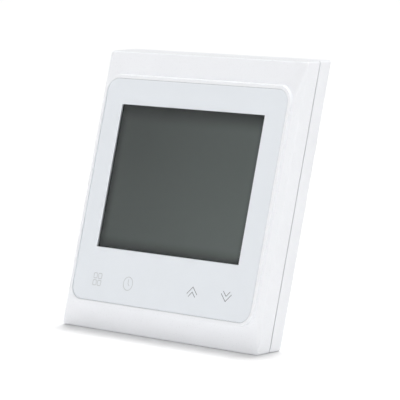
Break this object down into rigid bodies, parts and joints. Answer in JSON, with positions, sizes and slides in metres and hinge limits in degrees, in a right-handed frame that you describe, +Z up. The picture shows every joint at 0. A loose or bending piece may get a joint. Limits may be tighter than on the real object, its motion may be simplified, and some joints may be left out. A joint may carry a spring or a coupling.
{
  "type": "wall thermostat",
  "caption": "Square touch-panel wall thermostat: framed display unit that clips onto a wall plate with a shallow rear housing and rising-clamp screw terminals.",
  "frame": {"origin": "centre of the wall plane, the flat rear face of the square wall plate", "axes": "+X to the right seen from the front, +Y into the wall, +Z up; the touch panel faces -Y"},
  "size_m": [0.09, 0.0322, 0.09],
  "materials": {
    "front_frame": "smooth satin white moulding",
    "clear_front": "clear glossy front sheet",
    "print": "white printed layer with thin grey key symbols",
    "polariser": "dark grey-green unlit display",
    "lcd_glass": "grey-green display glass",
    "light_guide": "frosted acrylic",
    "white_inner": "fine moulded texture",
    "white_housing": "fine moulded texture",
    "elastomer": "layered elastomer",
    "ceramic": "glazed",
    "board": "green solder mask",
    "black_plastic": "black moulding",
    "insulator": "grey insulating sheet",
    "relay_blue": "blue relay case",
    "core": "dark core and tape",
    "epoxy_yellow": "yellow box",
    "epoxy_blue": "blue epoxy coat",
    "can": "drawn can",
    "terminal_green": "green terminal moulding",
    "zinc_steel": "zinc-plated steel",
    "spring_steel": "plated spring wire",
    "brass": "tinned brass"
  },
  "bodies": {
    "wall_unit": {"wall_plate": "white_housing", "power_cover": "insulator", "power_board": "board", "relay": "relay_blue", "transformer": "core", "film_capacitor": "epoxy_yellow", "fuse": "ceramic", "varistor": "epoxy_blue", "electrolytic_capacitor": "can", "header_socket": "black_plastic", "terminal_block": "terminal_green", "power_board_screw_1": "zinc_steel", "power_board_screw_2": "zinc_steel", "contact_tab_1": "brass", "contact_tab_2": "brass", "contact_tab_3": "brass", "contact_tab_4": "brass", "contact_tab_5": "brass", "contact_tab_6": "brass"},
    "front_unit": {"front_frame": "front_frame", "touch_glass": "clear_front", "panel_print": "print", "lcd_polariser": "polariser", "lcd_cell": "lcd_glass", "light_guide": "light_guide", "lcd_holder": "white_inner", "contact_strip": "elastomer", "backlight_led_1": "ceramic", "backlight_led_2": "ceramic", "touch_spring_1": "spring_steel", "touch_spring_2": "spring_steel", "touch_spring_3": "spring_steel", "touch_spring_4": "spring_steel", "control_board": "board", "microcontroller": "black_plastic", "buzzer": "black_plastic", "room_sensor": "black_plastic", "pin_header": "black_plastic", "rear_cover": "white_inner", "cover_screw_1": "zinc_steel", "cover_screw_2": "zinc_steel", "cover_screw_3": "zinc_steel", "cover_screw_4": "zinc_steel"},
    "terminal_screw_1": {"terminal_screw_1": "zinc_steel"},
    "terminal_clamp_1": {"terminal_clamp_1": "zinc_steel"},
    "terminal_screw_2": {"terminal_screw_2": "zinc_steel"},
    "terminal_clamp_2": {"terminal_clamp_2": "zinc_steel"},
    "terminal_screw_3": {"terminal_screw_3": "zinc_steel"},
    "terminal_clamp_3": {"terminal_clamp_3": "zinc_steel"},
    "terminal_screw_4": {"terminal_screw_4": "zinc_steel"},
    "terminal_clamp_4": {"terminal_clamp_4": "zinc_steel"},
    "terminal_screw_5": {"terminal_screw_5": "zinc_steel"},
    "terminal_clamp_5": {"terminal_clamp_5": "zinc_steel"},
    "terminal_screw_6": {"terminal_screw_6": "zinc_steel"},
    "terminal_clamp_6": {"terminal_clamp_6": "zinc_steel"}
  },
  "joints": [
    {"name": "front_unit_pull", "type": "slide", "parent": "wall_unit", "child": "front_unit", "axis": [0, -1, 0], "range_m": [0, 0.02]},
    {"name": "terminal_screw_1_turn", "type": "hinge", "parent": "wall_unit", "child": "terminal_screw_1", "pos_m": [-0.015, 0.0141, -0.0204], "axis": [0, -1, 0], "range_deg": [0, 1440]},
    {"name": "terminal_clamp_1_climb", "type": "slide", "parent": "wall_unit", "child": "terminal_clamp_1", "axis": [0, 1, 0], "range_m": [0, 0.002]},
    {"name": "terminal_screw_2_turn", "type": "hinge", "parent": "wall_unit", "child": "terminal_screw_2", "pos_m": [-0.009, 0.0141, -0.0204], "axis": [0, -1, 0], "range_deg": [0, 1440]},
    {"name": "terminal_clamp_2_climb", "type": "slide", "parent": "wall_unit", "child": "terminal_clamp_2", "axis": [0, 1, 0], "range_m": [0, 0.002]},
    {"name": "terminal_screw_3_turn", "type": "hinge", "parent": "wall_unit", "child": "terminal_screw_3", "pos_m": [-0.003, 0.0141, -0.0204], "axis": [0, -1, 0], "range_deg": [0, 1440]},
    {"name": "terminal_clamp_3_climb", "type": "slide", "parent": "wall_unit", "child": "terminal_clamp_3", "axis": [0, 1, 0], "range_m": [0, 0.002]},
    {"name": "terminal_screw_4_turn", "type": "hinge", "parent": "wall_unit", "child": "terminal_screw_4", "pos_m": [0.003, 0.0141, -0.0204], "axis": [0, -1, 0], "range_deg": [0, 1440]},
    {"name": "terminal_clamp_4_climb", "type": "slide", "parent": "wall_unit", "child": "terminal_clamp_4", "axis": [0, 1, 0], "range_m": [0, 0.002]},
    {"name": "terminal_screw_5_turn", "type": "hinge", "parent": "wall_unit", "child": "terminal_screw_5", "pos_m": [0.009, 0.0141, -0.0204], "axis": [0, -1, 0], "range_deg": [0, 1440]},
    {"name": "terminal_clamp_5_climb", "type": "slide", "parent": "wall_unit", "child": "terminal_clamp_5", "axis": [0, 1, 0], "range_m": [0, 0.002]},
    {"name": "terminal_screw_6_turn", "type": "hinge", "parent": "wall_unit", "child": "terminal_screw_6", "pos_m": [0.015, 0.0141, -0.0204], "axis": [0, -1, 0], "range_deg": [0, 1440]},
    {"name": "terminal_clamp_6_climb", "type": "slide", "parent": "wall_unit", "child": "terminal_clamp_6", "axis": [0, 1, 0], "range_m": [0, 0.002]}
  ],
  "couplings": [
    {"joint": "terminal_screw_1_turn", "follows": "terminal_clamp_1_climb", "rad_per_m": 12566},
    {"joint": "terminal_screw_2_turn", "follows": "terminal_clamp_2_climb", "rad_per_m": 12566},
    {"joint": "terminal_screw_3_turn", "follows": "terminal_clamp_3_climb", "rad_per_m": 12566},
    {"joint": "terminal_screw_4_turn", "follows": "terminal_clamp_4_climb", "rad_per_m": 12566},
    {"joint": "terminal_screw_5_turn", "follows": "terminal_clamp_5_climb", "rad_per_m": 12566},
    {"joint": "terminal_screw_6_turn", "follows": "terminal_clamp_6_climb", "rad_per_m": 12566}
  ]
}
